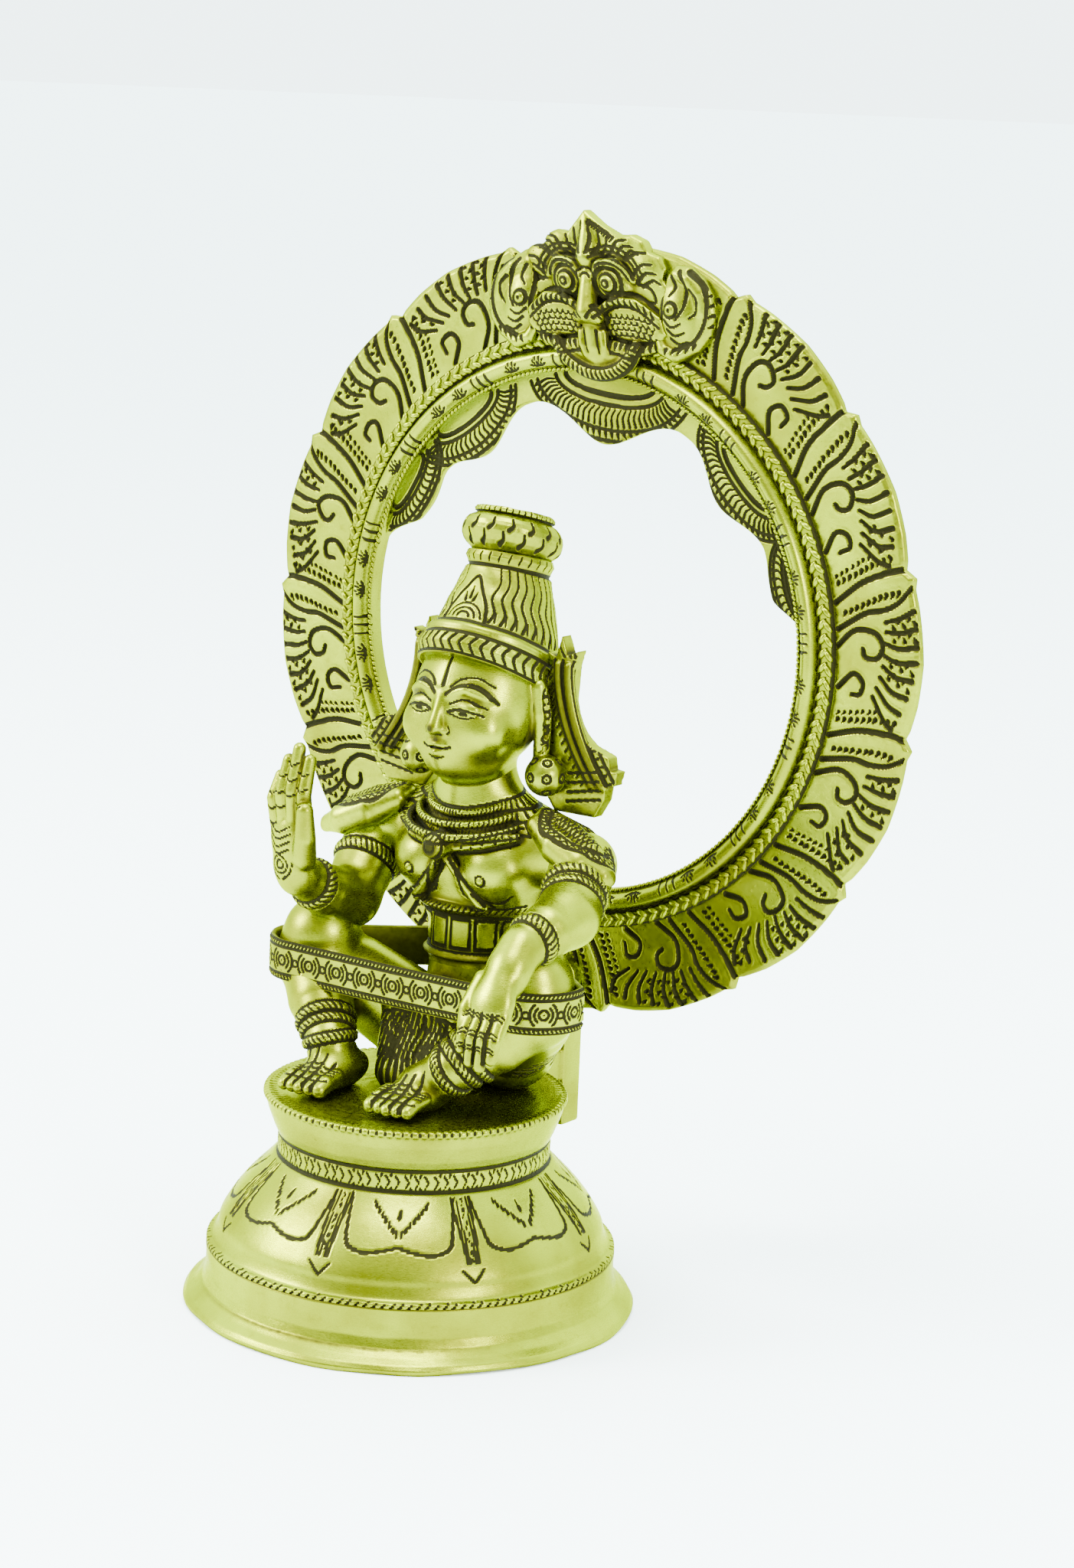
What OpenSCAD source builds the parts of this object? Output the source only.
// Seated deity in cast brass on a lotus pedestal, with a lift-off flame ring behind.
// Millimetres. +Z is up, the figure faces -Y, its left hand is at +X.
// The origin is the centre of the foot, on the surface it stands on.

/* [Pedestal] */
// Radius of the foot at the lip
foot_r = 62; // [50:1:74]
// Height of the seat rim above the floor
seat_z = 59.5; // [54:0.5:72]
// Radius of the seat at its rim
seat_r = 41.5; // [38:0.5:48]
// Radius of the neck between lotus and seat
neck_r = 37.4; // [32:0.2:40]
// Height of the neck band
neck_h = 6.5; // [4:0.5:9]
// Height of the seat drum
drum_h = 11.5; // [9:0.5:14]
// Height of the upright foot band, lip included
foot_h = 16; // [12:0.5:20]
// Wall of the hollow casting
wall = 3; // [2:0.25:4]

/* [Figure] */
// Height of the figure from the seat to the top of its hair
figure_h = 159; // [130:1:190]
// Half width between the shoulder joints
shoulder_x = 35; // [31:0.5:40]
// Half width between the knees
knee_x = 42; // [38:0.5:48]
// Half width of the face
face_r = 18.5; // [16:0.5:21]
// Radius of the torso at the belt
waist_r = 14.5; // [12:0.5:17]
// Radius of the ear balls
ear_ball_r = 5.9; // [4.5:0.1:7]
// Height of the yoga strap
strap_h = 11.5; // [7:0.5:13]
// Thickness of the yoga strap
strap_t = 1.8; // [1.2:0.1:2.6]

/* [Ring] */
// Outer radius of the leaf flange
ring_r = 109; // [100:1:125]
// Height of the ring's centre
ring_z = 178.6; // [172:0.5:200]
// Front face of the leaf flange, behind the figure
ring_y = 68.8; // [66:0.2:80]
// Thickness of the leaf flange
flange_t = 3.2; // [2.4:0.1:4]
// Radius of the braid that the flange starts from
braid_r = 84.2; // [80:0.2:90]
// Width of the raised band inside the braid
band_w = 9.5; // [7:0.5:12]
// How far the raised band stands forward of the flange
band_rise = 4.6; // [3:0.2:7]
// Leaf units on each side of the ring
leaf_units = 6; // [4:1:8]
// Radius inside the cusped lobes
cusp_r = 53.5; // [50:0.5:68]

/* [Mask] */
// Half width of the lion mask
mask_w = 24; // [20:0.5:28]
// How far the mask stands forward of the flange
mask_rise = 11; // [8:0.5:14]
// Height of the crest above the ring's centre
crest_r = 118; // [114:1:132]

/* [Socket] */
// Width of the tongue below the ring
tongue_w = 6; // [5:0.5:12]
// Thickness of the tongue
tongue_t = 3.6; // [3:0.2:5]
// Length of the tongue held in the socket
tongue_l = 30; // [22:1:36]
// Wall of the socket round the tongue
socket_wall = 2.2; // [1.8:0.1:3]
// Gap between the tongue and the socket on each side
slide_gap = 0.25; // [0.15:0.05:0.5]
// Radius of the rivets
rivet_r = 1.5; // [1:0.1:2]

/* [Hidden] */
$fn = 48;

k = figure_h / 159;                     // the figure is drawn 159 high
lotus_top = seat_z - drum_h - neck_h;   // where the dome meets the neck
drum_z = seat_z - drum_h;               // where the neck meets the drum
dome_r = foot_r - 5.8;                  // the upright foot band
band_in = braid_r - band_w;             // inside edge of the raised band
cusp_plate_t = 2.4;                     // thinner than the flange, flush with its back
mask_deg = 30;                          // half of the arc that the mask covers
boss_deg = 3;                           // half of the arc that the boss covers
unit_deg = (180 - mask_deg - boss_deg) / leaf_units;
tongue_y = ring_y - tongue_t;           // the tongue lies on the flange's front
flange_bottom = ring_z - ring_r;
tongue_end = flange_bottom - tongue_l;
socket_top = flange_bottom - 1.2;
socket_w = tongue_w + 2 * (slide_gap + socket_wall);
socket_d = tongue_t + 2 * (slide_gap + socket_wall);
socket_y = tongue_y + tongue_t / 2;     // middle of the socket
rivet_h = [5, 13];                      // rivets through the tongue's boss, above the flange's edge
arm_w = 9;                              // arm that holds the socket off the drum
arm_z = drum_z + 1;                     // its lower face
arm_h = drum_h - 2.2;
knee_t = 4;                             // the arm turns down here to reach a lower socket
knee_z = min(arm_z, socket_top - arm_h);
right_elbow = [-shoulder_x + 4, 8, 47];
right_wrist = [-shoulder_x + 6, -15, 57];
left_elbow = [shoulder_x + 9, 6, 55];
left_wrist = [shoulder_x + 8, -12, 50];
hair_dip = [28, 26.5, 15, 13];          // degrees that headband, roll, cone and bun lean back
headband_at = [0, 25, 110.5];           // middle of the headband's lower edge
roll_at = [0, 30, 119.8];               // middle of the roll above it
cone_at = [0, 34, 139.6];               // middle of the hair cone's top
bun_at = [0, 34.5, 144.75];             // middle of the bun's foot
brass = [0.73, 0.68, 0.20];
shade = [0.66, 0.60, 0.16];

function arc(r, a0, a1, n) = [for (i = [0:n]) let (a = a0 + (a1 - a0) * i / n) [r * cos(a), r * sin(a)]];

// Things on the seat are drawn from the seat's top, at the figure's own size
module on_seat() translate([0, 0, seat_z]) scale(k) children();
module mirrored(side) mirror([side < 0 ? 1 : 0, 0, 0]) children();
// Things on the ring are drawn in the plane of the flange's front, +Z towards the viewer
module on_ring() translate([0, ring_y, ring_z]) rotate([90, 0, 0]) children();
module ball(p, r, f = 20) translate(p) sphere(r, $fn = f);
module limb(a, ra, b, rb, f = 20) hull() {
    ball(a, ra, f);
    ball(b, rb, f);
}

// ---- pedestal ----
module bell_outline(d) polygon(concat(
    [[foot_r - d, 0], [foot_r - 0.6 - d, 1.8], [foot_r - 3.6 - d, 3.6],
     [dome_r + 0.4 - d, 6.5], [dome_r - d, 9]],
    [[dome_r + 0.3 - d, foot_h - 2], [dome_r - 1.2 - d, foot_h + 0.6], [dome_r - 2.6 - d, foot_h + 1.6]],
    [for (i = [0:10]) let (t = i / 10)
    [neck_r + 0.4 + (dome_r - 3 - neck_r - 0.4) * (1 - pow(t, 1.5)) - d,
         foot_h + 3 + (lotus_top - foot_h - 3) * t]],
    [[neck_r - d, lotus_top + 0.8], [neck_r - d, drum_z], [0, drum_z], [0, 0]]));
module lotus_bell() color(brass) difference() {
    rotate_extrude($fn = 96) bell_outline(0);
    translate([0, 0, -0.01]) rotate_extrude($fn = 96) intersection() {
        bell_outline(wall);
        square([foot_r, drum_z + 1]);
    }
    translate([0, 0, drum_z - 1]) cylinder(r = neck_r - wall, h = 2, $fn = 96);
}
module seat_drum() color(brass) difference() {
    union() {
        translate([0, 0, drum_z]) rotate_extrude($fn = 96) polygon([
            [0, 0], [neck_r, 0], [neck_r + 0.5, drum_h * 0.3],
            [seat_r - 1.3, drum_h * 0.8], [seat_r, drum_h - 1.6],
            [seat_r, drum_h - 0.7], [seat_r - 0.8, drum_h], [0, drum_h]]);
        translate([0, 0, drum_z - 3]) cylinder(r = neck_r - wall, h = 3.5, $fn = 96);
    }
    translate([0, 0, drum_z - 4]) cylinder(r = neck_r - 2 * wall, h = drum_h, $fn = 96);
    // flat where the socket's arm is let in
    translate([-arm_w / 2, neck_r - 3, arm_z]) cube([arm_w, 20, arm_h]);
}

// ---- figure ----
module hips() color(brass) on_seat() difference() {
    hull() {
        ball([-17, 20, 12], 13);
        ball([17, 20, 12], 13);
        ball([-9, 27, 12], 13);
        ball([9, 27, 12], 13);
        translate([0, 26, 32]) cylinder(r = waist_r - 0.5, h = 2, $fn = 32);
    }
    translate([-60, -60, -40]) cube([120, 120, 40]);
    translate([-60, -60, 34]) cube([120, 120, 40]);
    leg_shape(-1);
    leg_shape(1);
}
module torso() color(brass) on_seat() difference() {
    union() {
        translate([0, 26, 34]) cylinder(r = waist_r, h = 13.5, $fn = 40);
        hull() {
            translate([0, 26, 46]) cylinder(r = waist_r - 0.5, h = 1.5, $fn = 32);
            ball([-11, 20, 60], 11);
            ball([11, 20, 60], 11);
            ball([-shoulder_x + 12, 26, 65], 9.5);
            ball([shoulder_x - 12, 26, 65], 9.5);
        }
        translate([0, 23.5, 68]) cylinder(r1 = 15, r2 = 10.5, h = 12, $fn = 32);
        translate([0, 23.5, 80]) cylinder(r = 10.5, h = 5, $fn = 32);
    }
    translate([-60, -60, -1]) cube([120, 120, 35]);
}
module necklace() color(shade) on_seat() {
    intersection() {
        translate([0, 22, 74]) rotate([17, 0, 0])
            rotate_extrude($fn = 48) translate([16.2, 0]) circle(r = 2.3, $fn = 16);
        translate([-30, -10, 60]) cube([60, 60, 30]);
    }
    translate([0, 10.5, 70.5]) rotate([78, 0, 0]) cylinder(r = 3.6, h = 4.4, $fn = 32);
}
module head() color(brass) on_seat() difference() {
    union() {
        hull() {
            ball([0, 23.5, 107], face_r, 32);
            ball([0, 21, 99], face_r - 2, 28);
            ball([0, 14, 92.5], 6, 20);
        }
        limb([0, 5.5, 106], 1.6, [0, 2.6, 101.5], 2.1, 16);
    }
    translate([-60, -60, 45]) cube([120, 120, 40]);
    above_headband();
}
// a tall block that starts in the slanting plane of the headband's lower edge
module above_headband() translate(headband_at) rotate([-hair_dip[0], 0, 0])
    translate([-60, -60, 0]) cube([120, 120, 60]);
module headband() hull() {
    translate(headband_at) rotate([-hair_dip[0], 0, 0]) cylinder(r = face_r + 0.8, h = 6.5, $fn = 48);
    translate(roll_at) rotate([-hair_dip[1], 0, 0]) cylinder(r = face_r - 0.5, h = 0.6, $fn = 48);
}
module crown() color(brass) on_seat() union() {
    headband();
    hull() {
        translate(roll_at) rotate([-hair_dip[1], 0, 0]) cylinder(r = face_r - 1.2, h = 1, $fn = 48);
        translate(cone_at) rotate([-hair_dip[2], 0, 0]) cylinder(r = 11.6, h = 1, $fn = 48);
    }
    translate(bun_at) rotate([-hair_dip[3], 0, 0])
        translate([0, 0, -3.4]) cylinder(r = 12, h = 3.4, $fn = 48);
}
module topknot() color(brass) on_seat() translate(bun_at) rotate([-hair_dip[3], 0, 0])
    rotate_extrude($fn = 48) polygon(concat([[0, 0], [10.6, 0]],
    [for (i = [0:8]) let (a = -75 + i * 150 / 8) [9 + 4.9 * cos(a), 5.2 + 4.8 * sin(a)]],
        [[9.4, 10], [0, 10]]));
module hair_cap() color(shade) on_seat() translate(bun_at) rotate([-hair_dip[3], 0, 0])
    translate([0, 0, 10]) rotate_extrude($fn = 48) polygon(
        [[0, 0], [10.4, 0], [11, 0.8], [10.6, 2.2], [7, 3], [0, 3]]);
module ear_ball(side) color(shade) on_seat() mirrored(side) {
    ball([face_r + ear_ball_r * 0.5, 25, 87], ear_ball_r, 28);
    translate([face_r + 0.6, 25.5, 91]) cylinder(r = 2.6, h = 17, $fn = 20);
}
module right_ear_ball() ear_ball(-1);
module left_ear_ball() ear_ball(1);
// ribbon from behind the ear to the shoulder, a cut plate with a stepped end
module ribbon(side) color(shade) on_seat() mirrored(side) difference() {
    translate([0, 33, 0]) rotate([90, 0, 0]) linear_extrude(5) polygon(concat(
        [[face_r - 4, 112], [face_r + 3, 121], [face_r + 6, 125], [face_r + 9, 121]],
        [for (i = [0:6]) let (a = 180 + i * 80 / 6) [face_r + 19.5 + 12 * cos(a), 110 + 15 * sin(a)]],
        [[face_r + 24, 90.5], [face_r + 21, 84], [face_r + 18, 77], [face_r + 4, 77], [face_r - 4, 88]]));
    headband();
}
module right_ribbon() ribbon(-1);
module left_ribbon() ribbon(1);
module epaulette(side) color(shade) on_seat() mirrored(side) hull() {
    ball([shoulder_x - 12, 23, 78], 2.6, 16);
    ball([shoulder_x - 8, 31, 78], 2.6, 16);
    ball([shoulder_x + 6, 17, 70], 2.6, 16);
    ball([shoulder_x + 14, 25, 70], 2.4, 16);
    ball([shoulder_x + 11, 31, 74], 2.6, 16);
}
module right_epaulette() epaulette(-1);
module left_epaulette() epaulette(1);
module arm_shape(side) {
    if (side < 0) {
        limb([-shoulder_x, 26, 64], 9.2, right_elbow, 8);
        limb(right_elbow, 8, right_wrist, 6.4);
    }
    if (side > 0) {
        limb([shoulder_x, 26, 64], 9.2, left_elbow, 8.4);
        limb(left_elbow, 8.4, left_wrist, 6.6);
    }
}
module right_arm() color(brass) on_seat() arm_shape(-1);
module left_arm() color(brass) on_seat() arm_shape(1);
module right_hand() color(brass) on_seat() difference() {
    union() {
        hull() {
            ball([-shoulder_x + 6, -18, 58], 6.3);
            ball([-shoulder_x + 1.5, -21, 70], 5);
            ball([-shoulder_x + 12, -20, 72], 4);
        }
        limb([-shoulder_x + 2, -20.5, 72], 3.4, [-shoulder_x + 6.5, -20.5, 94], 2.5, 16);
        limb([-shoulder_x + 9, -20, 72], 3.4, [-shoulder_x + 10.5, -20, 91], 2.5, 16);
        limb([-shoulder_x + 13, -20, 70], 3.2, [-shoulder_x + 13.5, -22, 80], 2.8, 16);
    }
    limb(right_elbow, 8, right_wrist, 6.4);
}
module left_hand() color(brass) on_seat() difference() {
    union() {
        limb([shoulder_x + 8, -14, 49], 6.6, [shoulder_x + 6, -26, 40], 6.2);
        hull() {
            ball([shoulder_x + 2, -28, 38], 3.6, 16);
            ball([shoulder_x + 10, -27, 38], 3.6, 16);
            ball([shoulder_x + 1, -32, 22], 2.4, 16);
            ball([shoulder_x + 6, -32, 21], 2.4, 16);
        }
    }
    limb(left_elbow, 8.4, left_wrist, 6.6);
}
module leg_shape(side) mirrored(side) difference() {
    union() {
        limb([19, 18, 15], 13, [knee_x - 5, 2, 30], 11);
        limb([knee_x - 5, 2, 30], 11, [21, -12, 12], 7);
        limb([21, -12, 12], 7, [19, -14, 6], 6.5);
        limb([knee_x - 5, 2, 30], 11, [knee_x - 6, 2, 36.5], 10.5);
    }
    translate([-60, -60, -40]) cube([120, 120, 40]);
}
module leg(side) color(brass) on_seat() difference() {
    leg_shape(side);
    arm_shape(side);
}
module right_leg() leg(-1);
module left_leg() leg(1);
module foot(side, x, y) difference() {
    hull() {
        ball([x, y, 4], 7.5);
        ball([x, y - 13, 2.5], 5.5);
        ball([x - 6, y - 19, 2], 3.4, 16);
        ball([x + 6, y - 20, 2], 3.4, 16);
    }
    translate([-60, -60, -40]) cube([120, 120, 40]);
    leg_shape(side);
}
module right_foot() color(brass) on_seat() foot(-1, -18, -9);
module left_foot() color(brass) on_seat() foot(1, 12, -9);
module lap_cloth() color(shade) on_seat() difference() {
    hull() {
        ball([-12, 5, 22], 6);
        ball([12, 5, 22], 6);
        ball([-8, -3, 3], 6);
        ball([4, -2, 3], 6);
        ball([0, 8, 26], 6);
    }
    translate([-60, -60, -40]) cube([120, 120, 40]);
    leg_shape(-1);
    leg_shape(1);
}
// the strap runs round both knees and the small of the back
module strap_outline(d) hull() {
    translate([-knee_x + 5, 2]) circle(r = 12 + d, $fn = 48);
    translate([knee_x - 5, 2]) circle(r = 12 + d, $fn = 48);
    translate([0, 26]) circle(r = waist_r + 1 + d, $fn = 48);
}
module yoga_strap() color(shade) on_seat() translate([0, 0, 31 - strap_h / 2]) difference() {
    linear_extrude(strap_h) strap_outline(strap_t);
    translate([0, 0, -1]) linear_extrude(strap_h + 2) strap_outline(0);
}

// ---- socket behind the seat ----
module ring_socket() color(brass) difference() {
    union() {
        translate([-socket_w / 2, socket_y - socket_d / 2, tongue_end - 4])
            cube([socket_w, socket_d, socket_top - tongue_end + 4]);
        translate([-arm_w / 2, neck_r - 3, arm_z])
            cube([arm_w, socket_y - socket_d / 2 - neck_r + 3.5, arm_h]);
        translate([-arm_w / 2, socket_y - socket_d / 2 - knee_t, knee_z])
            cube([arm_w, knee_t + 0.5, arm_z + arm_h - knee_z]);
    }
    translate([-tongue_w / 2 - slide_gap, tongue_y - slide_gap, tongue_end - slide_gap])
        cube([tongue_w + 2 * slide_gap, tongue_t + 2 * slide_gap, tongue_l + 10]);
}

// ---- flame ring ----
module band_shape() rotate_extrude($fn = 144) translate([band_in, 0]) polygon(concat(
    [[0, -flange_t], [band_w, -flange_t], [band_w, 1.2], [band_w - 1, 2], [band_w - 2.6, 1.6]],
    [for (i = [0:6]) let (a = 8 + i * 150 / 6)
        [band_w * 0.44 + band_w * 0.27 * cos(a), 1 + (band_rise - 1) * sin(a)]],
    [[1.6, 2.6], [0.8, 3.2], [0, 2.4]]));
module ring_band() color(shade) on_ring() band_shape();
module leaf_flange() color(brass) on_ring() translate([0, 0, -flange_t]) linear_extrude(flange_t)
    difference() {
    polygon([for (i = [0:215]) let (a = i * 360 / 216,
        u = (abs(90 - (a > 270 ? a - 360 : a)) - mask_deg) / unit_deg,
        f = u - floor(u)) (ring_r - 2.2 * pow(abs(2 * f - 1), 6)) * [cos(a), sin(a)]]);
    circle(r = braid_r, $fn = 144);
    for (h = rivet_h) translate([0, h - ring_r]) circle(r = rivet_r, $fn = 32);
}
// A thin plate fills the upper half of the band, with five lobes hanging from it.
// Each lobe is its middle angle, its half width in degrees and its share of the depth.
LOBES = [[85, 23, 0.62], [43, 17, 0.34], [127, 17, 0.36], [16, 10, 0.08], [151, 12, 0.16]];
function smooth(a, low, high) = let (t = min(1, max(0, (a - low) / (high - low)))) t * t * (3 - 2 * t);
function hump(a, lobe) = lobe[2] * pow(cos(90 * min(1, abs(a - lobe[0]) / lobe[1])), 2);
function hang(a, i = 0) = i < len(LOBES) ? hump(a, LOBES[i]) + hang(a, i + 1) : 0.38;
function lobe_edge(a) = band_in - 1 - (band_in - 1 - cusp_r) * smooth(a, 8, 14)
    * (1 - smooth(a, 156, 166)) * hang(a);
module cusped_lobes() color(brass) on_ring() translate([0, 0, -flange_t]) linear_extrude(cusp_plate_t)
    polygon(concat(
    arc(band_in, 0, 180, 60),
    [for (i = [0:90]) let (a = 180 - 2 * i) lobe_edge(a) * [cos(a), sin(a)]]));
module lion_mask() color(brass) on_ring() difference() {
    union() {
        hull() {
            ball([-mask_w * 0.55, 83, 2], 8);
            ball([mask_w * 0.55, 83, 2], 8);
            ball([-8, 96, 4], 6.5);
            ball([8, 96, 4], 6.5);
            ball([0, 84, mask_rise - 7], 7);
        }
        hull() {
            translate([-3, crest_r - 2, 0]) cylinder(r = 2, h = 3, $fn = 20);
            translate([-10, 102, 0]) cylinder(r = 7, h = 5, $fn = 28);
            translate([16, 102, 0]) cylinder(r = 7, h = 4, $fn = 28);
        }
        limb([0, 95, mask_rise - 3], 2, [0, 87, mask_rise - 1.5], 3, 16);
        // lower lip, a crescent over the band
        hull() {
            translate([0, 80, 0]) cylinder(r = 8.6, h = band_rise + 3, $fn = 32);
            translate([-6, 83, 0]) cylinder(r = 8, h = band_rise + 2, $fn = 32);
            translate([6, 83, 0]) cylinder(r = 8, h = band_rise + 2, $fn = 32);
        }
    }
    translate([0, 0, -30]) cube([200, 300, 60], center = true);
    band_shape();
}
module makara(side) color(shade) on_ring() mirrored(side) difference() {
    hull() {
        rotate(-16) translate([0, 90, 1]) sphere(6.6, $fn = 20);
        rotate(-19) translate([0, 99, 1]) sphere(6.6, $fn = 20);
        rotate(-24) translate([0, 93, 1]) sphere(6, $fn = 20);
    }
    translate([0, 0, -30]) cube([400, 400, 60], center = true);
    band_shape();
}
module right_makara() makara(-1);
module left_makara() makara(1);

// ---- tongue that holds the ring in the socket ----
module tongue_plate() color(shade) difference() {
    translate([0, ring_y, 0]) rotate([90, 0, 0]) union() {
        translate([0, flange_bottom + 9, 0]) cylinder(r = 6.5, h = tongue_t + 0.8, $fn = 40);
        translate([-tongue_w / 2, tongue_end, 0]) cube([tongue_w, tongue_l + 9, tongue_t]);
    }
    for (h = rivet_h) translate([0, ring_y - 10, flange_bottom + h]) rotate([-90, 0, 0])
        cylinder(r = rivet_r, h = 20, $fn = 32);
}
module tongue_rivets() color(brass) for (h = rivet_h) translate([0, tongue_y - 0.8, flange_bottom + h])
    rotate([-90, 0, 0]) cylinder(r = rivet_r, h = tongue_t + 0.8 + flange_t, $fn = 32);

lotus_bell();
seat_drum();
hips();
torso();
necklace();
head();
crown();
topknot();
hair_cap();
right_ear_ball();
left_ear_ball();
right_ribbon();
left_ribbon();
right_epaulette();
left_epaulette();
right_arm();
left_arm();
right_hand();
left_hand();
right_leg();
left_leg();
right_foot();
left_foot();
lap_cloth();
yoga_strap();
ring_socket();
ring_band();
leaf_flange();
cusped_lobes();
lion_mask();
right_makara();
left_makara();
tongue_plate();
tongue_rivets();
